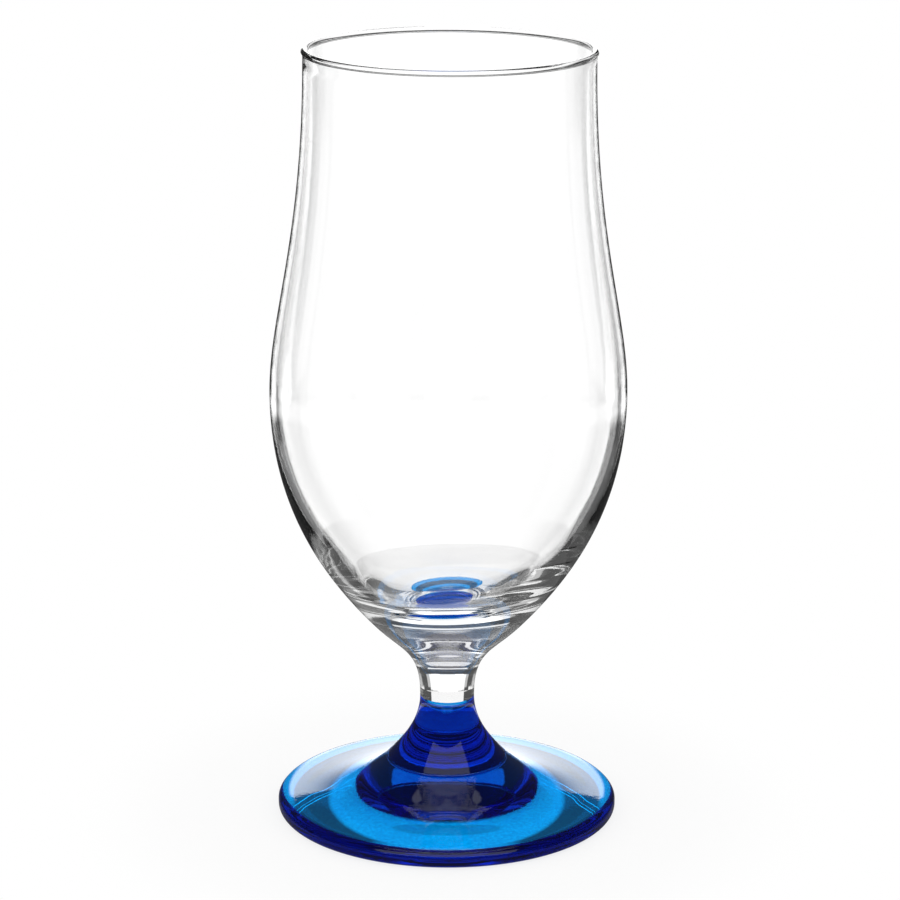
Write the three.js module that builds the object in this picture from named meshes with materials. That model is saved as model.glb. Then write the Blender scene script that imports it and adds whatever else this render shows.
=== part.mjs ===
// Beer goblet: a clear blown bowl on a short clear stem, fused to a blue neck and a blue foot.
// Millimetres, +Z up. The origin is the centre of the plane that the foot rests on.
// Each piece is turned about the Z axis. Neighbours meet face to face on a flat fused joint.

import * as THREE from 'three';

// Foot: a thin plate with a rounded edge, a low cone in its middle and a shallow hollow below.
// The upper edge is rounded over more widely than the lower one.
const footRadius = 38.65;
const footEdgeHeight = 3.9;
const footEdgeRounding = 1.25;
const upperEdgeWidth = 3.4;
const upperEdgeDrop = 1.7;
const restingRingWidth = 4.2;
const hollowDepth = 2.0;
const plateRise = 2.45;
const coneFootRadius = 20.9;
const coneHeight = 5.91;

// Raised ring where the blue neck meets the cone.
const ringRadius = 13.4;
const ringBead = 0.4;

// Blue neck, from the ring up to the waist, where the glass turns clear.
const blueNeckHeight = 14.59;
const waistRadius = 6.15;

// Clear stem, from the waist up to the joint under the bowl.
const clearStemHeight = 8.96;
const jointRadius = 8.1;

// Bowl, from the joint up: the heavy shoulder, the belly and the lip.
const shoulderRise = 9.14;
const shoulderRadius = 17.25;
const lowerBowlHeight = 53.23;
const bellyRadius = 39.76;
const upperBowlHeight = 76.82;
const rimRadius = 32.27;
const rimWall = 0.9;
const bellyWall = 1.8;
const shoulderWall = 5.0;
const baseThickness = 16.0;

// Bead that fire polishing leaves on the lip: its rounding, and how far down it fades into the wall.
const lipBead = 0.8;
const lipBeadDepth = 1.4;

// Lean of the outline from vertical, outwards as it rises.
const ringLean = THREE.MathUtils.degToRad(-37);
const jointLean = THREE.MathUtils.degToRad(31.5);
const shoulderLean = THREE.MathUtils.degToRad(43.6);
const coneLean = THREE.MathUtils.degToRad(-56);
const coneFootLean = THREE.MathUtils.degToRad(-65);
const plateLean = THREE.MathUtils.degToRad(-86);
const upright = 0;

// Fullness of each curve at its lower and upper end, as a share of its rise.
const neckFullness = [0.2, 0.51];
const stemFullness = [0.45, 0.29];
const shoulderFullness = [0.44, 0.57];
const lowerBowlFullness = [0.33, 0.456];
const upperBowlFullness = [0.233, 0.534];
const plateFullness = [3.5, 0.35];
const coneFullness = [0.3, 0.9];

// The wall grows towards the shoulder by this power of the depth below the belly.
const wallGrowth = 2.3;
// Place on the lower bowl where the inner wall turns into the floor, 0 at the shoulder and 1 at the belly.
const heelPlace = 0.24;
// Fullness of the floor curve at the middle, as a share of the heel radius, and at the heel, of its rise.
const floorFullness = [0.5, 1.0];

// Fineness of the solids.
const turns = 60;
const longSteps = 10;
const shortSteps = 4;

// Heights of the stations, stacked on the resting plane.
const coneFootHeight = footEdgeHeight + plateRise;
const ringHeight = coneFootHeight + coneHeight;
const waistHeight = ringHeight + blueNeckHeight;
const jointHeight = waistHeight + clearStemHeight;
const shoulderHeight = jointHeight + shoulderRise;
const bellyHeight = shoulderHeight + lowerBowlHeight;
const topHeight = bellyHeight + upperBowlHeight;
const lipHeight = topHeight - lipBeadDepth;
const floorHeight = jointHeight + baseThickness;

const point = (radius, height) => new THREE.Vector2(radius, height);
const direction = (lean) => point(Math.sin(lean), Math.cos(lean));

// A curve that rises from one station to the next, leaving and arriving with the given leans.
function risingCurve(lower, lowerLean, upper, upperLean, [lowerFullness, upperFullness]) {
  const rise = upper.y - lower.y;
  return new THREE.CubicBezierCurve(
    lower,
    lower.clone().addScaledVector(direction(lowerLean), lowerFullness * rise),
    upper.clone().addScaledVector(direction(upperLean), -upperFullness * rise),
    upper,
  );
}

// Points of an arc about a centre, from one angle to another.
function arcPoints(centre, radius, startAngle, endAngle, steps) {
  const clockwise = endAngle < startAngle;
  const arc = new THREE.EllipseCurve(centre.x, centre.y, radius, radius, startAngle, endAngle, clockwise);
  return arc.getPoints(steps);
}

// A point of the inner surface, one wall thickness in from the outer curve.
function innerPoint(curve, place, wallAt) {
  const outer = curve.getPoint(place);
  const along = curve.getTangent(place);
  const inwards = point(-along.y, along.x);
  return outer.addScaledVector(inwards, wallAt(outer.y));
}

function innerPoints(curve, wallAt, steps, lowestPlace = 0) {
  const placeAt = (_, step) => THREE.MathUtils.lerp(lowestPlace, 1, step / steps);
  const places = Array.from({ length: steps + 1 }, placeAt);
  return places.map((place) => innerPoint(curve, place, wallAt));
}

// A solid of revolution. The outline runs from the axis round the outside and back to the axis.
function turnedPiece(name, outline, color, roughness) {
  const clean = outline.filter((here, index) => index === 0 || here.distanceTo(outline[index - 1]) > 1e-6);
  const geometry = new THREE.LatheGeometry(clean, turns);
  geometry.rotateX(Math.PI / 2);
  const material = new THREE.MeshStandardMaterial({
    color,
    roughness,
    metalness: 0,
    transparent: true,
    opacity: 0.6,
  });
  const piece = new THREE.Mesh(geometry, material);
  piece.name = name;
  return piece;
}

const ring = point(ringRadius, ringHeight);
const waist = point(waistRadius, waistHeight);
const joint = point(jointRadius, jointHeight);
const shoulder = point(shoulderRadius, shoulderHeight);
const belly = point(bellyRadius, bellyHeight);
const lip = point(rimRadius - lipBead + rimWall / 2, lipHeight);

const neckCurve = risingCurve(ring, ringLean, waist, upright, neckFullness);
const stemCurve = risingCurve(waist, upright, joint, jointLean, stemFullness);
const shoulderCurve = risingCurve(joint, jointLean, shoulder, shoulderLean, shoulderFullness);
const lowerBowlCurve = risingCurve(shoulder, shoulderLean, belly, upright, lowerBowlFullness);
const upperBowlCurve = risingCurve(belly, upright, lip, upright, upperBowlFullness);

// The bowl's wall by height: it thins from the belly to the lip and thickens towards the shoulder.
function upperWall(height) {
  return THREE.MathUtils.mapLinear(height, bellyHeight, lipHeight, bellyWall, rimWall);
}

function lowerWall(height) {
  const depth = THREE.MathUtils.inverseLerp(bellyHeight, shoulderHeight, height);
  return bellyWall + (shoulderWall - bellyWall) * Math.max(depth, 0) ** wallGrowth;
}

// The lip: the wall swells on both sides into a bead with a round top.
function lipPoints() {
  const beadCentre = point(rimRadius - lipBead, topHeight - lipBead);
  const beadSide = point(lipBead, 0);
  const beadOuter = beadCentre.clone().add(beadSide);
  const beadInner = beadCentre.clone().sub(beadSide);
  const innerLip = point(lip.x - rimWall, lip.y);
  const swell = point(0, (lipBeadDepth - lipBead) / 2);
  const above = (place) => place.clone().add(swell);
  const below = (place) => place.clone().sub(swell);
  const outerSwell = new THREE.CubicBezierCurve(lip, above(lip), below(beadOuter), beadOuter);
  const innerSwell = new THREE.CubicBezierCurve(beadInner, below(beadInner), above(innerLip), innerLip);
  return [
    ...outerSwell.getPoints(shortSteps),
    ...arcPoints(beadCentre, lipBead, 0, Math.PI, shortSteps),
    ...innerSwell.getPoints(shortSteps),
  ];
}

function bowl() {
  const innerUpper = innerPoints(upperBowlCurve, upperWall, longSteps);
  const innerLower = innerPoints(lowerBowlCurve, lowerWall, longSteps, heelPlace);
  const heel = innerLower[0];
  const heelDirection = lowerBowlCurve.getTangent(heelPlace);
  const heelRise = heel.y - floorHeight;
  const floorCurve = new THREE.CubicBezierCurve(
    point(0, floorHeight),
    point(heel.x * floorFullness[0], floorHeight),
    heel.clone().addScaledVector(heelDirection, -floorFullness[1] * heelRise),
    heel,
  );
  return turnedPiece('bowl', [
    point(0, jointHeight),
    ...shoulderCurve.getPoints(shortSteps),
    ...lowerBowlCurve.getPoints(longSteps),
    ...upperBowlCurve.getPoints(longSteps),
    ...lipPoints(),
    ...innerUpper.reverse(),
    ...innerLower.reverse(),
    ...floorCurve.getPoints(shortSteps).reverse(),
  ], 0xe9eff0, 0.03);
}

function stem() {
  return turnedPiece('stem', [
    point(0, waistHeight),
    ...stemCurve.getPoints(shortSteps),
    point(0, jointHeight),
  ], 0xdfe8ea, 0.03);
}

function blueNeck() {
  return turnedPiece('blue_neck', [
    point(0, ringHeight),
    ...neckCurve.getPoints(longSteps),
    point(0, waistHeight),
  ], 0x0a2a9c, 0.04);
}

function foot() {
  const edgeRadius = footRadius - footEdgeRounding;
  const restingRadius = edgeRadius - restingRingWidth;
  const lowerEdgeCentre = point(edgeRadius, footEdgeRounding);
  const plateTop = point(footRadius - upperEdgeWidth, footEdgeHeight);
  const upperEdgeLevel = footEdgeHeight - upperEdgeDrop;
  const upperEdge = new THREE.EllipseCurve(
    plateTop.x,
    upperEdgeLevel,
    upperEdgeWidth,
    upperEdgeDrop,
    0,
    Math.PI / 2,
  );
  const coneFoot = point(coneFootRadius, coneFootHeight);
  const beadCentre = point(ringRadius, ringHeight - ringBead);
  const beadFoot = beadCentre.clone().add(point(ringBead, -ringBead).multiplyScalar(Math.SQRT1_2));
  const hollow = new THREE.QuadraticBezierCurve(
    point(0, hollowDepth),
    point(restingRadius / 2, hollowDepth),
    point(restingRadius, 0),
  );
  const plateCurve = risingCurve(plateTop, plateLean, coneFoot, coneFootLean, plateFullness);
  const coneCurve = risingCurve(coneFoot, coneFootLean, beadFoot, coneLean, coneFullness);
  return turnedPiece('foot', [
    ...hollow.getPoints(shortSteps),
    ...arcPoints(lowerEdgeCentre, footEdgeRounding, -Math.PI / 2, 0, shortSteps),
    ...upperEdge.getPoints(shortSteps),
    ...plateCurve.getPoints(longSteps),
    ...coneCurve.getPoints(longSteps),
    ...arcPoints(beadCentre, ringBead, -Math.PI / 4, Math.PI / 2, shortSteps),
    point(0, ringHeight),
  ], 0x0a78e0, 0.04);
}

const goblet = new THREE.Group();
goblet.add(bowl(), stem(), blueNeck(), foot());

export default goblet;
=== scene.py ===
"""Looks of the beer goblet: a clear blown bowl and stem on a blue neck and foot, in a plain white studio."""

import math

import bpy
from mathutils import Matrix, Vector


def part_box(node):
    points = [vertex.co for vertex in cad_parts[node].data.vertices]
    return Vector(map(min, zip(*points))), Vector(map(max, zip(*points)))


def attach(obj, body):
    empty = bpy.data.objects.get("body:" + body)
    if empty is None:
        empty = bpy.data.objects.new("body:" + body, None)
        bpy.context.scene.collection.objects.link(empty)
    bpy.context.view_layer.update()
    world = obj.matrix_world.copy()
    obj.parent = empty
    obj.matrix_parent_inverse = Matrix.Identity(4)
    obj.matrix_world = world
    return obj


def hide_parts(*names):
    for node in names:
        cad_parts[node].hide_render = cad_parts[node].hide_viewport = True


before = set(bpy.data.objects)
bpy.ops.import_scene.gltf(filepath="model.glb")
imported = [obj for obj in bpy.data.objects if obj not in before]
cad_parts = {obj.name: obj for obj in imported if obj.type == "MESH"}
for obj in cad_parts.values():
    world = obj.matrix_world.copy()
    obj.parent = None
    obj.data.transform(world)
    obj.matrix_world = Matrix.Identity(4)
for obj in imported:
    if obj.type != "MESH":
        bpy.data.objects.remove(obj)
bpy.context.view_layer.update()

# The script works in metres, and these sizes are written in millimetres.
MM = 0.001


def half_width_and_top(box):
    """A box's half width, and its top's height above the table."""
    return box[1].x, box[1].z


# Stations on the outline, as (radius, height). Heights and outer radii come from the frame.
FOOT_RADIUS, RING_HEIGHT = half_width_and_top(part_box("foot"))
WAIST_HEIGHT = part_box("stem")[0].z
JOINT_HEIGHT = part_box("bowl")[0].z
BELLY_RADIUS, TOP_HEIGHT = half_width_and_top(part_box("bowl"))
RING_RADIUS = 13.4 * MM
WAIST_RADIUS = 6.15 * MM
JOINT_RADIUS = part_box("stem")[1].x
SHOULDER_RADIUS = 17.25 * MM
SHOULDER_RISE = 9.14 * MM
LOWER_BOWL_HEIGHT = 53.23 * MM
RIM_RADIUS = 32.27 * MM

# The foot's plate, the foot of its cone, and the hollow under it.
FOOT_EDGE_HEIGHT = 3.9 * MM
FOOT_EDGE_ROUNDING = 1.25 * MM
FOOT_TOP_ROUNDING = 3.4 * MM, 1.7 * MM
CONE_FOOT_RADIUS = 20.9 * MM
CONE_FOOT_HEIGHT = 6.35 * MM
RESTING_RING_WIDTH = 4.2 * MM
HOLLOW_DEPTH = 2.0 * MM
RING_BEAD = 0.4 * MM

# Walls of the bowl, and the bead that fire polishing leaves on the lip.
RIM_WALL = 0.9 * MM
BELLY_WALL = 1.8 * MM
SHOULDER_WALL = 5.0 * MM
BASE_THICKNESS = 16.0 * MM
WALL_GROWTH = 2.3
HEEL_PLACE = 0.24
LIP_BEAD = 0.8 * MM
LIP_DEPTH = 1.4 * MM

# Irregularities of this one glass. The lip's bead is drawn in by a share of its width round the turn named,
# and the inside floor leans, higher on the right, up to where it has faded out.
THIN_LIP_SHARE = 0.52
THIN_LIP_TURN = -15
THIN_LIP_REACH = 75
THIN_LIP_FADE = 50
FLOOR_LEAN = math.tan(math.radians(2.3))
FLOOR_LEAN_FADE = 16 * MM

# Refractive index of glass against air, of two clear pieces fused together, and of the seam with the blue.
GLASS_INDEX = 1.5
FUSED_INDEX = 1.0
STAINED_INDEX = 1.04

# The blue thins out over this height under the waist. Front and back, just under the waist, a small paler
# patch is painted in as a painted highlight where the bright middle of the neck shows.
BLUE_FADE = 2.0 * MM
HIGHLIGHT_PATCH_HEIGHT = 1.5 * MM
HIGHLIGHT_PATCH_HALF_WIDTH = 3.4 * MM
HIGHLIGHT_PATCH_SOFT_FOOT = 0.4 * MM
HIGHLIGHT_PATCH_SOFT_SIDES = 0.3 * MM
# Painted light: thin rings on the neck where the blue is made weaker, standing in for bright stripes of
# light seen through it, as height and how much weaker.
PAINTED_LIGHT_RINGS = [(22.8 * MM, 0.10), (21.4 * MM, 0.12), (19.1 * MM, 0.2)]
PAINTED_LIGHT_RING_WIDTH = 0.6 * MM
PAINTED_LIGHT_RING_SOFTNESS = 0.25 * MM

# Lean of the outline from vertical, in degrees, outwards as it rises.
RING_LEAN = -37
JOINT_LEAN = 31.5
SHOULDER_LEAN = 43.6
CONE_LEAN = -56
CONE_FOOT_LEAN = -65
PLATE_LEAN = -86
UPRIGHT = 0

# How full each curve is at its lower and at its upper end, as a share of its rise.
NECK_FULLNESS = 0.2, 0.51
STEM_FULLNESS = 0.45, 0.29
SHOULDER_FULLNESS = 0.44, 0.57
LOWER_BOWL_FULLNESS = 0.33, 0.456
UPPER_BOWL_FULLNESS = 0.233, 0.534
PLATE_FULLNESS = 3.5, 0.35
CONE_FULLNESS = 0.3, 0.9
# How far out the inside floor stays flat, as a share of the radius at its heel.
FLOOR_FLATNESS = 0.5

# Half of the gap between two fused faces. A level face this near a weld's height belongs to it.
WELD_GAP = 0.005 * MM
WELD_REACH = 3 * WELD_GAP
LEVEL_FACE = 0.99

# Fineness of the turned surfaces, the distance at which two points are one, and the angle in degrees from
# which an edge stays sharp.
TURNS = 240
LONG_STEPS = 70
MEDIUM_STEPS = 36
SHORT_STEPS = 14
ONE_POINT = 1e-7
SHARP_ANGLE = 40


# Outlines

def point(radius, height):
    return Vector((radius, height))


def leaning(degrees):
    lean = math.radians(degrees)
    return Vector((math.sin(lean), math.cos(lean)))


class Curve:
    """A cubic Bezier curve between two stations of the outline."""

    def __init__(self, start, start_handle, end_handle, end):
        self.knots = (start, start_handle, end_handle, end)

    def at(self, place):
        a, b, c, d = self.knots
        rest = 1 - place
        return a * rest**3 + b * 3 * rest**2 * place + c * 3 * rest * place**2 + d * place**3

    def along(self, place):
        a, b, c, d = self.knots
        rest = 1 - place
        return ((b - a) * rest**2 + (c - b) * 2 * rest * place + (d - c) * place**2).normalized()

    def points(self, steps, first=0.0):
        return [self.at(first + (1 - first) * step / steps) for step in range(steps + 1)]


def rising(lower, lower_lean, upper, upper_lean, lower_fullness, upper_fullness):
    """A curve that leaves its lower station and arrives at its upper one with the given leans."""
    rise = upper.y - lower.y
    return Curve(
        lower,
        lower + leaning(lower_lean) * lower_fullness * rise,
        upper - leaning(upper_lean) * upper_fullness * rise,
        upper,
    )


def arc(centre, radius, start, end, steps):
    """Points of an arc about a centre, between two angles in degrees."""
    angles = [math.radians(start + (end - start) * step / steps) for step in range(steps + 1)]
    return [centre + point(math.cos(angle), math.sin(angle)) * radius for angle in angles]


BELLY_HEIGHT = JOINT_HEIGHT + SHOULDER_RISE + LOWER_BOWL_HEIGHT
LIP_HEIGHT = TOP_HEIGHT - LIP_DEPTH

ring = point(RING_RADIUS, RING_HEIGHT)
waist = point(WAIST_RADIUS, WAIST_HEIGHT)
joint = point(JOINT_RADIUS, JOINT_HEIGHT)
shoulder = point(SHOULDER_RADIUS, JOINT_HEIGHT + SHOULDER_RISE)
belly = point(BELLY_RADIUS, BELLY_HEIGHT)
lip = point(RIM_RADIUS - LIP_BEAD + RIM_WALL / 2, LIP_HEIGHT)

neck_curve = rising(ring, RING_LEAN, waist, UPRIGHT, *NECK_FULLNESS)
stem_curve = rising(waist, UPRIGHT, joint, JOINT_LEAN, *STEM_FULLNESS)
shoulder_curve = rising(joint, JOINT_LEAN, shoulder, SHOULDER_LEAN, *SHOULDER_FULLNESS)
lower_bowl_curve = rising(shoulder, SHOULDER_LEAN, belly, UPRIGHT, *LOWER_BOWL_FULLNESS)
upper_bowl_curve = rising(belly, UPRIGHT, lip, UPRIGHT, *UPPER_BOWL_FULLNESS)


def upper_wall(height):
    """The wall's thickness above the belly."""
    share = (height - BELLY_HEIGHT) / (LIP_HEIGHT - BELLY_HEIGHT)
    return BELLY_WALL + (RIM_WALL - BELLY_WALL) * share


def lower_wall(height):
    """The wall's thickness below the belly, which grows faster and faster towards the shoulder."""
    depth = (BELLY_HEIGHT - height) / LOWER_BOWL_HEIGHT
    return BELLY_WALL + (SHOULDER_WALL - BELLY_WALL) * max(depth, 0) ** WALL_GROWTH


def inner(curve, wall_at, steps, first=0.0):
    """The inner surface, one wall in from an outer curve."""
    places = [first + (1 - first) * step / steps for step in range(steps + 1)]
    points = []
    for place in places:
        outer = curve.at(place)
        along = curve.along(place)
        points.append(outer + point(-along.y, along.x) * wall_at(outer.y))
    return points


def bowl_outline():
    weld = point(0, WELD_GAP)
    bead = point(RIM_RADIUS - LIP_BEAD, TOP_HEIGHT - LIP_BEAD)
    swell = point(0, (LIP_DEPTH - LIP_BEAD) / 2)
    bead_side = point(LIP_BEAD, 0)
    inner_lip = lip - point(RIM_WALL, 0)
    outer_swell = Curve(lip, lip + swell, bead + bead_side - swell, bead + bead_side)
    inner_swell = Curve(bead - bead_side, bead - bead_side - swell, inner_lip + swell, inner_lip)
    inner_upper = inner(upper_bowl_curve, upper_wall, LONG_STEPS)
    inner_lower = inner(lower_bowl_curve, lower_wall, LONG_STEPS, HEEL_PLACE)
    floor = point(0, JOINT_HEIGHT + BASE_THICKNESS)
    heel = inner_lower[0]
    heel_handle = heel - lower_bowl_curve.along(HEEL_PLACE) * (heel.y - floor.y)
    floor_curve = Curve(floor, point(heel.x * FLOOR_FLATNESS, floor.y), heel_handle, heel)
    return [
        point(0, JOINT_HEIGHT) + weld,
        joint + weld,
        *shoulder_curve.points(MEDIUM_STEPS)[1:],
        *lower_bowl_curve.points(LONG_STEPS),
        *upper_bowl_curve.points(LONG_STEPS),
        *outer_swell.points(SHORT_STEPS),
        *arc(bead, LIP_BEAD, 0, 180, SHORT_STEPS),
        *inner_swell.points(SHORT_STEPS),
        *reversed(inner_upper),
        *reversed(inner_lower),
        *reversed(floor_curve.points(MEDIUM_STEPS)),
    ]


def stem_outline():
    weld = point(0, WELD_GAP)
    return [
        point(0, WAIST_HEIGHT) + weld,
        waist + weld,
        *stem_curve.points(MEDIUM_STEPS)[1:-1],
        joint - weld,
        point(0, JOINT_HEIGHT) - weld,
    ]


def neck_outline():
    weld = point(0, WELD_GAP)
    return [
        point(0, RING_HEIGHT) + weld,
        ring + weld,
        *neck_curve.points(LONG_STEPS)[1:-1],
        waist - weld,
        point(0, WAIST_HEIGHT) - weld,
    ]


def foot_outline():
    edge_radius = FOOT_RADIUS - FOOT_EDGE_ROUNDING
    resting_radius = edge_radius - RESTING_RING_WIDTH
    wide, high = FOOT_TOP_ROUNDING
    plate_top = point(FOOT_RADIUS - wide, FOOT_EDGE_HEIGHT)
    upper_edge = []
    for step in range(SHORT_STEPS + 1):
        angle = math.radians(90 * step / SHORT_STEPS)
        upper_edge.append(plate_top + point(math.cos(angle) * wide, (math.sin(angle) - 1) * high))
    bead = point(RING_RADIUS, RING_HEIGHT - RING_BEAD - WELD_GAP)
    bead_foot = bead + leaning(135) * RING_BEAD
    cone_foot = point(CONE_FOOT_RADIUS, CONE_FOOT_HEIGHT)
    plate_curve = rising(plate_top, PLATE_LEAN, cone_foot, CONE_FOOT_LEAN, *PLATE_FULLNESS)
    cone_curve = rising(cone_foot, CONE_FOOT_LEAN, bead_foot, CONE_LEAN, *CONE_FULLNESS)
    hollow = Curve(
        point(0, HOLLOW_DEPTH),
        point(resting_radius / 3, HOLLOW_DEPTH),
        point(resting_radius * 2 / 3, HOLLOW_DEPTH * 2 / 3),
        point(resting_radius, 0),
    )
    return [
        *hollow.points(MEDIUM_STEPS),
        *arc(point(edge_radius, FOOT_EDGE_ROUNDING), FOOT_EDGE_ROUNDING, -90, 0, SHORT_STEPS),
        *upper_edge,
        *plate_curve.points(LONG_STEPS),
        *cone_curve.points(MEDIUM_STEPS),
        *arc(bead, RING_BEAD, -45, 90, SHORT_STEPS),
        point(0, RING_HEIGHT - WELD_GAP),
    ]


# Turning

def turned(name, outline):
    """Draws the outline from one vertex by extrusion and spins it about the Z axis into a closed solid."""
    path = [outline[0]]
    for here in outline[1:]:
        if (here - path[-1]).length > ONE_POINT:
            path.append(here)
    bpy.ops.object.select_all(action="DESELECT")
    bpy.ops.mesh.primitive_plane_add(size=MM, location=(path[0].x, 0, path[0].y))
    piece = bpy.context.object
    piece.name = piece.data.name = name
    bpy.ops.object.transform_apply(location=True, rotation=True, scale=True)
    bpy.ops.object.mode_set(mode="EDIT")
    bpy.ops.mesh.select_all(action="SELECT")
    bpy.ops.mesh.merge(type="CENTER")
    for before, here in zip(path, path[1:]):
        step = here - before
        bpy.ops.mesh.extrude_vertices_move(TRANSFORM_OT_translate={"value": (step.x, 0, step.y)})
    bpy.ops.mesh.select_all(action="SELECT")
    bpy.ops.mesh.spin(steps=TURNS, angle=math.tau, center=(0, 0, 0), axis=(0, 0, 1))
    bpy.ops.mesh.select_all(action="SELECT")
    bpy.ops.mesh.remove_doubles(threshold=ONE_POINT)
    bpy.ops.mesh.normals_make_consistent(inside=False)
    bpy.ops.object.mode_set(mode="OBJECT")
    bpy.ops.object.shade_smooth_by_angle(angle=math.radians(SHARP_ANGLE))
    return piece


def eased(share):
    """The share with a gentle start and end."""
    return share * share * (3 - 2 * share)


def thin_lip(piece):
    """Draws the bead in at the front, where the lip is nearly as thin as the wall."""
    bead_radius = RIM_RADIUS - LIP_BEAD
    for vertex in piece.data.vertices:
        place = vertex.co
        if place.z < LIP_HEIGHT:
            continue
        turn = math.degrees(math.atan2(place.x, -place.y))
        near = min(max((THIN_LIP_REACH - abs(turn - THIN_LIP_TURN)) / THIN_LIP_FADE, 0), 1)
        share = 1 - THIN_LIP_SHARE * eased(near)
        radius = math.hypot(place.x, place.y)
        wanted = bead_radius + (radius - bead_radius) * share
        place.x *= wanted / radius
        place.y *= wanted / radius


def lean_floor(piece):
    """Tilts the inside floor a little, as a hand-gathered base sets, and leaves the outer surface alone."""
    outer = lower_bowl_curve.points(LONG_STEPS)
    floor_height = JOINT_HEIGHT + BASE_THICKNESS
    for vertex in piece.data.vertices:
        place = vertex.co
        if place.z < floor_height - MM or place.z > floor_height + FLOOR_LEAN_FADE:
            continue
        radius = math.hypot(place.x, place.y)
        wall = min(abs(radius - station.x) + abs(place.z - station.y) for station in outer)
        if wall < MM:
            continue
        share = 1 - max(place.z - floor_height, 0) / FLOOR_LEAN_FADE
        place.z += place.x * FLOOR_LEAN * eased(share)


def mark_welds(piece, welds):
    """Gives each face its refractive index: glass against air, or the one given for a weld's height."""
    attribute = piece.data.attributes.new("index", "FLOAT", "FACE")
    values = []
    for polygon in piece.data.polygons:
        height = polygon.center.z
        value = GLASS_INDEX
        for weld_height, weld_index in welds.items():
            if abs(height - weld_height) < WELD_REACH and abs(polygon.normal.z) > LEVEL_FACE:
                value = weld_index
        values.append(value)
    attribute.data.foreach_set("value", values)


# Materials

def add(tree, kind, **inputs):
    """Adds a node. Each input is a value, or a socket to link from."""
    node = tree.nodes.new(kind)
    for name, value in inputs.items():
        socket = node.inputs[name.replace("_", " ")]
        if isinstance(value, bpy.types.NodeSocket):
            tree.links.new(value, socket)
        else:
            socket.default_value = value
    return node


def calculate(tree, operation, *values):
    """One step of arithmetic on values or sockets."""
    node = tree.nodes.new("ShaderNodeMath")
    node.operation = operation
    for socket, value in zip(node.inputs, values):
        if isinstance(value, bpy.types.NodeSocket):
            tree.links.new(value, socket)
        else:
            socket.default_value = value
    return node.outputs[0]


def window(tree, value, low, high, soft):
    """One inside the range and nought outside, with soft edges."""
    rise = add(tree, "ShaderNodeMapRange")
    fall = add(tree, "ShaderNodeMapRange")
    for node, edge, start, end in ((rise, low, 0, 1), (fall, high, 1, 0)):
        node.interpolation_type = "SMOOTHSTEP"
        tree.links.new(value, node.inputs["Value"])
        node.inputs["From Min"].default_value = edge - soft
        node.inputs["From Max"].default_value = edge + soft
        node.inputs["To Min"].default_value = start
        node.inputs["To Max"].default_value = end
    return calculate(tree, "MULTIPLY", rise.outputs[0], fall.outputs[0])


def brightest(tree, values):
    """The greatest of the values."""
    result = values[0]
    for value in values[1:]:
        result = calculate(tree, "MAXIMUM", result, value)
    return result


def in_both(tree, first, second, first_range, second_range):
    """One where both values are in their ranges, each given as low, high and softness."""
    inside = window(tree, first, *first_range)
    return calculate(tree, "MULTIPLY", inside, window(tree, second, *second_range))


def choose(tree, factor, off, on):
    """off where the factor is nought, on where it is one."""
    difference = calculate(tree, "SUBTRACT", on, off)
    return calculate(tree, "MULTIPLY_ADD", difference, factor, off)


# How fine the marks on the glass are, per metre, and how rough they make it.
WAVES_PER_METRE = (60, 60, 300)
SCRATCHES_PER_METRE = (2400, 900, 120)
SCRATCH_TURN = (0.4, 0.9, 0.3)
PEEL_SCALE = 900.0
SEED_SCALE = 110.0
SMUDGE_SCALE = 45.0
SCRATCH_ROUGHNESS = 0.12
SMUDGE_ROUGHNESS = 0.012
SEED_DEPTH = 2.0
# Where each pattern of noise counts as a mark, as lowest, highest and softness.
SCRATCHED = (0.72, 2, 0.02)
SEEDED = (-1, 0.045, 0.02)
SMUDGED = (0.62, 2, 0.08)
MARK_HEIGHT = 0.01 * MM

# The blue where its mottling is thick and thin, and where it has faded out. The faded blue is also the
# colour of the painted highlight patch and the painted light rings.
DEEP_BLUE = (0.0, 0.345, 0.78, 1)
PALE_BLUE = (0.0, 0.46, 0.92, 1)
FADED_AND_HIGHLIGHT_BLUE = (0.8, 0.92, 1.0, 1)
GRAIN_SCALE = 1300.0
CLOUD_SCALE = 120.0
GRAIN_SHARE = 0.7
CLOUD_SHARE = 0.3
# Where the mottling makes the blue pale, as lowest, highest and softness.
THIN_STAIN = (0.5, 2, 0.12)


def new_group(name, inputs, outputs):
    """An empty node group. Inputs and outputs are given as name and socket type."""
    group = bpy.data.node_groups.new(name, "ShaderNodeTree")
    for label, kind in inputs:
        group.interface.new_socket(label, in_out="INPUT", socket_type=kind)
    for label, kind in outputs:
        group.interface.new_socket(label, in_out="OUTPUT", socket_type=kind)
    entry = group.nodes.new("NodeGroupInput")
    finish = group.nodes.new("NodeGroupOutput")
    return group, entry, finish


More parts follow.
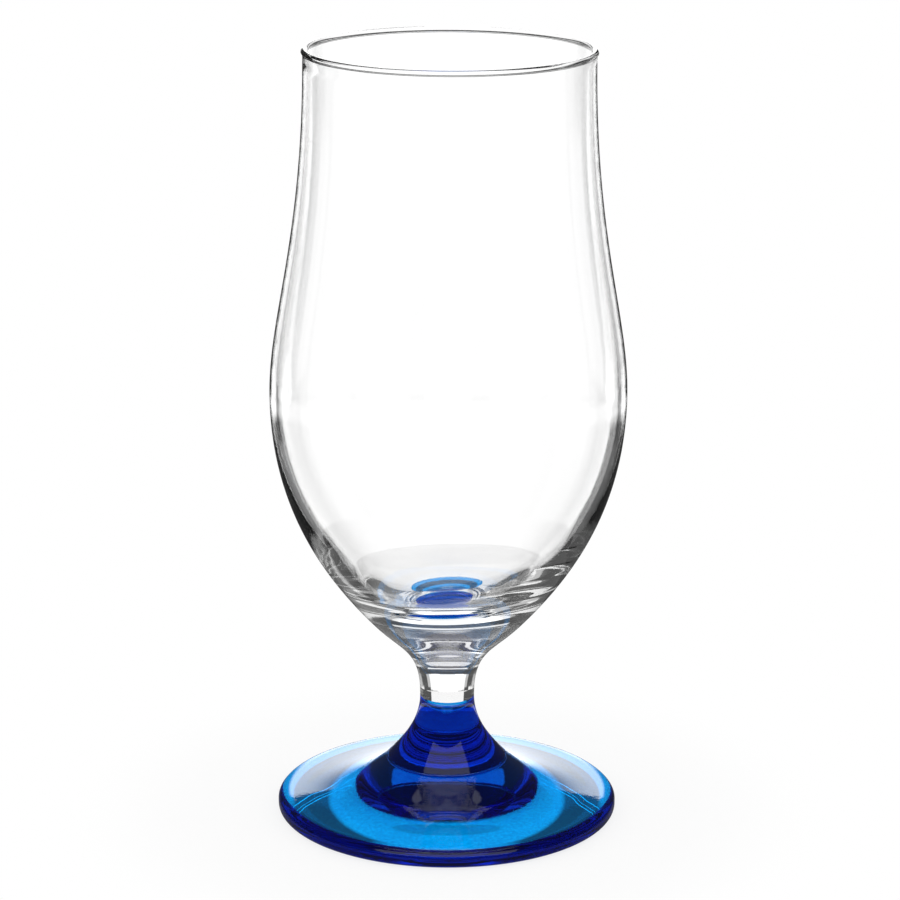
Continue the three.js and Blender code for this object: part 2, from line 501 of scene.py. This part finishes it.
def blown_surface():
    """Blown glass seen close: drawn-out waves, orange peel, hair scratches, smudges and small seeds."""
    group, entry, finish = new_group(
        "blown_surface",
        [("Waves", "NodeSocketFloat"), ("Peel", "NodeSocketFloat"), ("Wear", "NodeSocketFloat")],
        [("Height", "NodeSocketFloat"), ("Roughness", "NodeSocketFloat")],
    )
    place = add(group, "ShaderNodeTexCoord").outputs["Object"]
    drawn = add(group, "ShaderNodeMapping", Vector=place, Scale=WAVES_PER_METRE)
    waves = add(group, "ShaderNodeTexNoise", Vector=drawn.outputs[0], Scale=1.0, Detail=1.0)
    peel = add(group, "ShaderNodeTexNoise", Vector=place, Scale=PEEL_SCALE, Detail=2.0)
    scratch_place = add(group, "ShaderNodeMapping", Vector=place, Scale=SCRATCHES_PER_METRE)
    scratch_place.inputs["Rotation"].default_value = SCRATCH_TURN
    scratches = add(group, "ShaderNodeTexNoise", Vector=scratch_place.outputs[0], Scale=1.0, Detail=1.0)
    scratch = window(group, scratches.outputs[0], *SCRATCHED)
    seeds = add(group, "ShaderNodeTexVoronoi", Vector=place, Scale=SEED_SCALE)
    seed = window(group, seeds.outputs["Distance"], *SEEDED)
    wave_height = calculate(group, "MULTIPLY", waves.outputs[0], entry.outputs["Waves"])
    peel_height = calculate(group, "MULTIPLY", peel.outputs[0], entry.outputs["Peel"])
    seed_height = calculate(group, "MULTIPLY", seed, SEED_DEPTH)
    seed_height = calculate(group, "MULTIPLY", seed_height, entry.outputs["Peel"])
    height = calculate(group, "ADD", calculate(group, "ADD", wave_height, peel_height), seed_height)
    group.links.new(height, finish.inputs["Height"])
    smudges = add(group, "ShaderNodeTexNoise", Vector=place, Scale=SMUDGE_SCALE, Detail=3.0)
    smudge = window(group, smudges.outputs[0], *SMUDGED)
    smudge = calculate(group, "MULTIPLY", smudge, SMUDGE_ROUGHNESS)
    marks = calculate(group, "MULTIPLY_ADD", scratch, SCRATCH_ROUGHNESS, smudge)
    marks = calculate(group, "MULTIPLY", marks, entry.outputs["Wear"])
    group.links.new(marks, finish.inputs["Roughness"])
    return group


def glass(name, stain, absorption, density, waves, peel, wear):
    """Glass with the shared surface. The stain is a node group that colours it, or None for clear glass."""
    material = bpy.data.materials.new(name)
    material.use_nodes = True
    tree = material.node_tree
    tree.nodes.clear()
    out = add(tree, "ShaderNodeOutputMaterial")
    index = add(tree, "ShaderNodeAttribute")
    index.attribute_name = "index"
    marks = tree.nodes.new("ShaderNodeGroup")
    marks.node_tree = surface
    for label, value in (("Waves", waves), ("Peel", peel), ("Wear", wear)):
        marks.inputs[label].default_value = value
    bump = add(tree, "ShaderNodeBump", Height=marks.outputs["Height"], Distance=MARK_HEIGHT)
    shader = add(tree, "ShaderNodeBsdfPrincipled", IOR=index.outputs["Fac"], Normal=bump.outputs[0])
    tree.links.new(marks.outputs["Roughness"], shader.inputs["Roughness"])
    shader.inputs["Base Color"].default_value = (1, 1, 1, 1)
    if stain:
        colour = tree.nodes.new("ShaderNodeGroup")
        colour.node_tree = stain
        tree.links.new(colour.outputs["Color"], shader.inputs["Base Color"])
    shader.inputs["Transmission Weight"].default_value = 1
    volume = add(tree, "ShaderNodeVolumeAbsorption", Density=density)
    volume.inputs["Color"].default_value = (*absorption, 1)
    tree.links.new(volume.outputs[0], out.inputs["Volume"])
    tree.links.new(shader.outputs[0], out.inputs["Surface"])
    return material


def blue_stain():
    """The blue: finely mottled, fading out just below the waist, with a painted highlight patch and painted
    light rings on the neck.
    """
    group, _, finish = new_group("blue_stain", [], [("Color", "NodeSocketColor")])
    place = add(group, "ShaderNodeTexCoord").outputs["Object"]
    grain = add(group, "ShaderNodeTexNoise", Vector=place, Scale=GRAIN_SCALE, Detail=2.0)
    cloud = add(group, "ShaderNodeTexNoise", Vector=place, Scale=CLOUD_SCALE, Detail=2.0)
    mottle = calculate(group, "MULTIPLY", grain.outputs[0], GRAIN_SHARE)
    mottle = calculate(group, "MULTIPLY_ADD", cloud.outputs[0], CLOUD_SHARE, mottle)
    tones = add(group, "ShaderNodeMix")
    tones.data_type = "RGBA"
    group.links.new(window(group, mottle, *THIN_STAIN), tones.inputs["Factor"])
    tones.inputs["A"].default_value = DEEP_BLUE
    tones.inputs["B"].default_value = PALE_BLUE
    split = add(group, "ShaderNodeSeparateXYZ", Vector=place)
    height = split.outputs["Z"]
    fade = add(group, "ShaderNodeMapRange", Value=height, From_Min=WAIST_HEIGHT - BLUE_FADE)
    fade.inputs["From Max"].default_value = WAIST_HEIGHT
    fade.interpolation_type = "SMOOTHSTEP"
    # Painted highlight: a small paler patch front and back, just under the waist.
    painted_highlight = window(group, height, WAIST_HEIGHT - HIGHLIGHT_PATCH_HEIGHT, 1, HIGHLIGHT_PATCH_SOFT_FOOT)
    painted_highlight_width = window(group, split.outputs["X"], -HIGHLIGHT_PATCH_HALF_WIDTH, HIGHLIGHT_PATCH_HALF_WIDTH, HIGHLIGHT_PATCH_SOFT_SIDES)
    painted_highlight = calculate(group, "MULTIPLY", painted_highlight, painted_highlight_width)
    # clear gathers the real fade of the blue with the painted highlight, and below with the painted light
    # rings.
    clear = calculate(group, "MAXIMUM", fade.outputs[0], painted_highlight)
    # Painted light: paler rings that stand in for the bright stripes seen through the neck.
    half = PAINTED_LIGHT_RING_WIDTH / 2
    for ring_height, weaker in PAINTED_LIGHT_RINGS:
        painted_light_band = window(group, height, ring_height - half, ring_height + half, PAINTED_LIGHT_RING_SOFTNESS)
        clear = calculate(group, "MAXIMUM", clear, calculate(group, "MULTIPLY", painted_light_band, weaker))
    stained = add(group, "ShaderNodeMix")
    stained.data_type = "RGBA"
    group.links.new(clear, stained.inputs["Factor"])
    group.links.new(tones.outputs["Result"], stained.inputs["A"])
    stained.inputs["B"].default_value = FADED_AND_HIGHLIGHT_BLUE
    group.links.new(stained.outputs["Result"], finish.inputs["Color"])
    return group


def dress(piece, node, material):
    """Gives a piece its glass, hides the frame's part that it stands for, and attaches it to the root body.
    """
    piece.data.materials.clear()
    piece.data.materials.append(material)
    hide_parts(node)
    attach(piece, "root")


surface = blown_surface()
clear_glass = glass("clear_glass", None, (0.9, 0.95, 0.9), density=1, waves=1.0, peel=0.15, wear=1.0)
blue_glass = glass("blue_glass", blue_stain(), (0.8, 0.82, 0.95), density=300, waves=1.0, peel=0.4, wear=1.0)


# Pieces

bowl = turned("goblet_bowl", bowl_outline())
stem = turned("goblet_stem", stem_outline())
neck = turned("goblet_blue_neck", neck_outline())
foot = turned("goblet_foot", foot_outline())
thin_lip(bowl)
lean_floor(bowl)
mark_welds(bowl, {JOINT_HEIGHT: FUSED_INDEX})
mark_welds(stem, {JOINT_HEIGHT: FUSED_INDEX, WAIST_HEIGHT: STAINED_INDEX})
mark_welds(neck, {WAIST_HEIGHT: STAINED_INDEX, RING_HEIGHT: FUSED_INDEX})
mark_welds(foot, {RING_HEIGHT: FUSED_INDEX})
dress(bowl, "bowl", clear_glass)
dress(stem, "stem", clear_glass)
dress(neck, "blue_neck", blue_glass)
dress(foot, "foot", blue_glass)


# Studio

def panels(tree, turn, height, sizes):
    """The brightest of the panels, each given as from, to, lowest, highest, level and softness."""
    levels = []
    for start, end, low, high, level, soft in sizes:
        across = window(tree, turn, start, end, soft)
        up = window(tree, height, low, high, soft)
        levels.append(calculate(tree, "MULTIPLY", calculate(tree, "MULTIPLY", across, up), level))
    return brightest(tree, levels)


# What stands round the goblet and shows through it, in degrees of turn and of height, with a level and a
# softness. Nought is straight behind, positive to the right.
BEHIND = [
    (-48, -40.5, -95, -14, 1.05, 1.0),
    (-17.5, 13.5, -95, -15, 1.15, 1.0),
    (-29, 27, -16.5, 2, 1.12, 1.0),
    (-34.5, -28, -14.5, 2, 0.55, 1.0),
    (26, 33, -14.5, 2, 0.55, 1.0),
    (-24, -9.5, -16.5, 2, 1.75, 1.5),
    (9.5, 23, -16.5, 2, 1.75, 1.5),
    (-38, -18, -42, -20, 0.35, 2),
    (14, 34, -42, -20, 0.18, 2),
    (55, 185, 2, 20, 0.35, 4),
    (60, 185, 18, 52, 0.18, 4),
    (-185, -55, 2, 20, 0.14, 4),
    (-29, 27, 16.5, 24, 1.0, 1),
    (-12, 12, 22, 52, 0.14, 3),
]
# The same to both sides: white panels with narrow dark gaps, so that the goblet's edges show all round.
AROUND = [
    (47, 63, -95, -14, 1.05, 2.0),
    (75, 104, -95, 3, 1.05, 2.0),
    (117, 152, -95, 3, 1.05, 2.0),
    (164, 185, -95, 3, 1.05, 2.0),
    (52, 185, -95, 3, 0.6, 5.0),
    (-5, 185, 56, 95, 0.9, 3),
]
DARK = 0.08

# What the glass mirrors: the backdrop low behind, the room to both sides of it, and a softbox overhead. The
# softbox's edges are slopes: how far across and ahead it reaches for each unit that it is high.
LOW_BACKDROP = (-1, 9, 3), (-8, 22.4, 0.4)
LOW_BACKDROP_LEVEL = 2.9
ROOM_SIDES = (22, 168, 4), (-16, -12, 1.0)
SOFTBOX_ACROSS = (-0.5, 0.5, 0.02)
SOFTBOX_AHEAD = (-0.9, 0.03, 0.02)
SOFTBOX_FOOT = 0.05
DARK_MIRRORED = 0.05


def studio():
    """Plain white to the camera. The glass refracts one set of panels and mirrors another."""
    world = bpy.data.worlds.new("studio")
    bpy.context.scene.world = world
    world.use_nodes = True
    tree = world.node_tree
    tree.nodes.clear()
    out = add(tree, "ShaderNodeOutputWorld")
    place = add(tree, "ShaderNodeTexCoord").outputs["Generated"]
    split = add(tree, "ShaderNodeSeparateXYZ", Vector=place)
    turn = calculate(tree, "ARCTAN2", split.outputs["X"], split.outputs["Y"])
    azimuth = calculate(tree, "MULTIPLY", turn, math.degrees(1))
    side = calculate(tree, "ABSOLUTE", azimuth)
    height = calculate(tree, "MULTIPLY", calculate(tree, "ARCSINE", split.outputs["Z"]), math.degrees(1))
    through = panels(tree, azimuth, height, BEHIND)
    through = calculate(tree, "MAXIMUM", through, panels(tree, side, height, AROUND))
    through = calculate(tree, "MAXIMUM", through, DARK)
    low_back = in_both(tree, side, height, *LOW_BACKDROP)
    low_back = calculate(tree, "MULTIPLY", low_back, LOW_BACKDROP_LEVEL)
    depth = calculate(tree, "SUBTRACT", split.outputs["Z"], split.outputs["Y"])
    across = calculate(tree, "DIVIDE", split.outputs["X"], depth)
    ahead = calculate(tree, "DIVIDE", split.outputs["Y"], split.outputs["Z"])
    softbox = in_both(tree, across, ahead, SOFTBOX_ACROSS, SOFTBOX_AHEAD)
    overhead = calculate(tree, "GREATER_THAN", split.outputs["Z"], SOFTBOX_FOOT)
    softbox = calculate(tree, "MULTIPLY", softbox, overhead)
    room_sides = in_both(tree, side, height, *ROOM_SIDES)
    mirrored = brightest(tree, [low_back, softbox, room_sides])
    mirrored = calculate(tree, "MAXIMUM", mirrored, DARK_MIRRORED)
    light = add(tree, "ShaderNodeLightPath")
    plain = calculate(tree, "MAXIMUM", light.outputs["Is Camera Ray"], light.outputs["Is Diffuse Ray"])
    level = choose(tree, light.outputs["Is Reflection Ray"], through, mirrored)
    level = choose(tree, plain, level, 1.0)
    background = add(tree, "ShaderNodeBackground", Strength=level)
    background.inputs["Color"].default_value = (1, 1, 1, 1)
    tree.links.new(background.outputs[0], out.inputs["Surface"])


# The white table. What the glass shows of it is a pattern of light and shade, in millimetres and degrees.
# A range is a start, an end and a softness.
TABLE_RADIUS = 95 * MM
TABLE_CORNERS = 128
TABLE_DROP = 0.2 * MM
LIT_BEHIND = (-5, 34, 6)
LIT_IN_FRONT = (104, 185, 18)
LIT_OUTSIDE = 38
# Ovals on the table, as middle towards the back, half width and half depth: the light that the foot gathers,
# the stem's shadow, and the paler one in front of it, with how much light is left in each shadow.
GATHERED_LIGHT = (-3, 26.5, 31)
GATHERED_LEVEL = 1.25
GATHERED_SOFTNESS = 0.08
STEM_SHADOWS = [((8, 12, 15), 0.5), ((-19, 12, 5), 0.7)]
SHADOW_SOFTNESS = 0.15
UNDER_FOOT = (-5, 37, 1.0)
UNDER_FOOT_LEVEL = 0.22
UNDER_RIM = (35.0, 38.2, 0.5)
UNDER_RIM_LEVEL = 1.2
# Bright threads of light beside the cone: the radius where they start, how far they swing out on the way to
# the front, and each thread's place beyond that with its half width.
THREAD_RADIUS = 19.5
THREAD_SWING = 12
THREAD_FROM = 45
THREAD_TURN = 55
THREAD_SIDES = (42, 112, 8)
THREAD_WOBBLE = 4.0
THREAD_WOBBLE_SCALE = 90.0
THREADS = [(1.0, 0.16), (2.3, 0.1), (4.4, 0.16)]
THREAD_SOFTNESS = 0.12
THREAD_LEVEL = 2.2
TABLE_DARK = 0.05
TABLE_MIRRORED = 0.15
# The shadow that the camera sees round the foot.
SHADOW_REACH = (-5, 72, 18)
SHADOW_DEPTH = 0.2


def oval(tree, split, middle, half_width, half_depth):
    """The squared distance from an oval's middle, one at its edge."""
    wide = calculate(tree, "DIVIDE", split.outputs["X"], half_width * MM)
    deep = calculate(tree, "SUBTRACT", split.outputs["Y"], middle * MM)
    deep = calculate(tree, "DIVIDE", deep, half_depth * MM)
    return calculate(tree, "MULTIPLY_ADD", wide, wide, calculate(tree, "MULTIPLY", deep, deep))


def threads(tree, place, radius, side):
    """Thin bright lines that swing out from the cone towards the front."""
    wobble = add(tree, "ShaderNodeTexNoise", Vector=place, Scale=THREAD_WOBBLE_SCALE, Detail=1.0)
    swing = calculate(tree, "DIVIDE", calculate(tree, "SUBTRACT", side, THREAD_FROM), THREAD_TURN)
    swing = calculate(tree, "MULTIPLY", calculate(tree, "MULTIPLY", swing, swing), THREAD_SWING)
    swing = calculate(tree, "SUBTRACT", radius, calculate(tree, "ADD", swing, THREAD_RADIUS))
    swing = calculate(tree, "MULTIPLY_ADD", wobble.outputs[0], THREAD_WOBBLE, swing)
    levels = []
    for off, width in THREADS:
        line = in_both(tree, swing, side, (off - width, off + width, THREAD_SOFTNESS), THREAD_SIDES)
        levels.append(calculate(tree, "MULTIPLY", line, THREAD_LEVEL))
    return brightest(tree, levels)


def table_light(tree, place, radius):
    """The light on the table as the glass shows it."""
    split = add(tree, "ShaderNodeSeparateXYZ", Vector=place)
    turn = calculate(tree, "ARCTAN2", split.outputs["X"], split.outputs["Y"])
    side = calculate(tree, "ABSOLUTE", calculate(tree, "MULTIPLY", turn, math.degrees(1)))
    sectors = brightest(tree, [window(tree, side, *LIT_BEHIND), window(tree, side, *LIT_IN_FRONT)])
    beyond = calculate(tree, "GREATER_THAN", radius, LIT_OUTSIDE)
    outside = calculate(tree, "MULTIPLY", sectors, beyond)
    gathered = window(tree, oval(tree, split, *GATHERED_LIGHT), -1, 1, GATHERED_SOFTNESS)
    gathered = calculate(tree, "MULTIPLY", gathered, GATHERED_LEVEL)
    for shape, left_over in STEM_SHADOWS:
        shadow = window(tree, oval(tree, split, *shape), -1, 1, SHADOW_SOFTNESS)
        gathered = calculate(tree, "MULTIPLY", gathered, choose(tree, shadow, 1.0, left_over))
    under_foot = calculate(tree, "MULTIPLY", window(tree, radius, *UNDER_FOOT), UNDER_FOOT_LEVEL)
    under_rim = calculate(tree, "MULTIPLY", window(tree, radius, *UNDER_RIM), UNDER_RIM_LEVEL)
    lines = threads(tree, place, radius, side)
    light = brightest(tree, [outside, gathered, under_foot, under_rim, lines])
    return calculate(tree, "MAXIMUM", light, TABLE_DARK)


def white_table():
    """Plain white with a faint shadow to the camera, and the pattern of light to the glass."""
    material = bpy.data.materials.new("white_table")
    material.use_nodes = True
    tree = material.node_tree
    tree.nodes.clear()
    out = add(tree, "ShaderNodeOutputMaterial")
    place = add(tree, "ShaderNodeTexCoord").outputs["Object"]
    distance = add(tree, "ShaderNodeVectorMath")
    distance.operation = "LENGTH"
    tree.links.new(place, distance.inputs[0])
    radius = calculate(tree, "DIVIDE", distance.outputs["Value"], MM)
    path = add(tree, "ShaderNodeLightPath")
    pattern = table_light(tree, place, radius)
    pattern = choose(tree, path.outputs["Is Reflection Ray"], pattern, TABLE_MIRRORED)
    pattern = add(tree, "ShaderNodeEmission", Strength=pattern)
    white = add(tree, "ShaderNodeEmission", Strength=1.0)
    paper = add(tree, "ShaderNodeBsdfDiffuse")
    paper.inputs["Color"].default_value = (1, 1, 1, 1)
    shade = calculate(tree, "MULTIPLY", window(tree, radius, *SHADOW_REACH), SHADOW_DEPTH)
    plain = add(tree, "ShaderNodeMixShader", Fac=shade)
    tree.links.new(white.outputs[0], plain.inputs[1])
    tree.links.new(paper.outputs[0], plain.inputs[2])
    seen_plain = calculate(tree, "MAXIMUM", path.outputs["Is Camera Ray"], path.outputs["Is Diffuse Ray"])
    mix = add(tree, "ShaderNodeMixShader", Fac=seen_plain)
    tree.links.new(pattern.outputs[0], mix.inputs[1])
    tree.links.new(plain.outputs[0], mix.inputs[2])
    tree.links.new(mix.outputs[0], out.inputs["Surface"])
    return material


def table():
    bpy.ops.object.select_all(action="DESELECT")
    bpy.ops.mesh.primitive_circle_add(
        vertices=TABLE_CORNERS, radius=TABLE_RADIUS, fill_type="NGON", location=(0, 0, -TABLE_DROP)
    )
    floor = bpy.context.object
    floor.name = floor.data.name = "white_table"
    bpy.ops.object.transform_apply(location=True, rotation=True, scale=True)
    floor.data.materials.append(white_table())


studio()
table()

# Camera

CAMERA_DISTANCE = 708.4 * MM
CAMERA_HEIGHT = 284.0 * MM
CAMERA_PITCH = 15.723
CAMERA_ROLL = 0.242
CAMERA_LENS = 131.68
SENSOR_WIDTH = 36
CAMERA_SHIFT = 0.00206, 0.00032

camera_data = bpy.data.cameras.new("camera")
camera = bpy.data.objects.new("camera", camera_data)
bpy.context.scene.collection.objects.link(camera)
bpy.context.scene.camera = camera
camera_data.lens = CAMERA_LENS
camera_data.sensor_width = SENSOR_WIDTH
camera_data.shift_x, camera_data.shift_y = CAMERA_SHIFT
camera.location = (0, -CAMERA_DISTANCE, CAMERA_HEIGHT)
camera.rotation_mode = "ZXY"
camera.rotation_euler = (math.radians(90 - CAMERA_PITCH), 0, 0)
camera.rotation_euler.rotate_axis("Z", math.radians(CAMERA_ROLL))

bpy.context.scene.view_settings.view_transform = "Standard"
cycles = bpy.context.scene.cycles
# Light passes through the thick base many times.
cycles.max_bounces = 48
cycles.transmission_bounces = 48
cycles.glossy_bounces = 24
cycles.transparent_max_bounces = 24
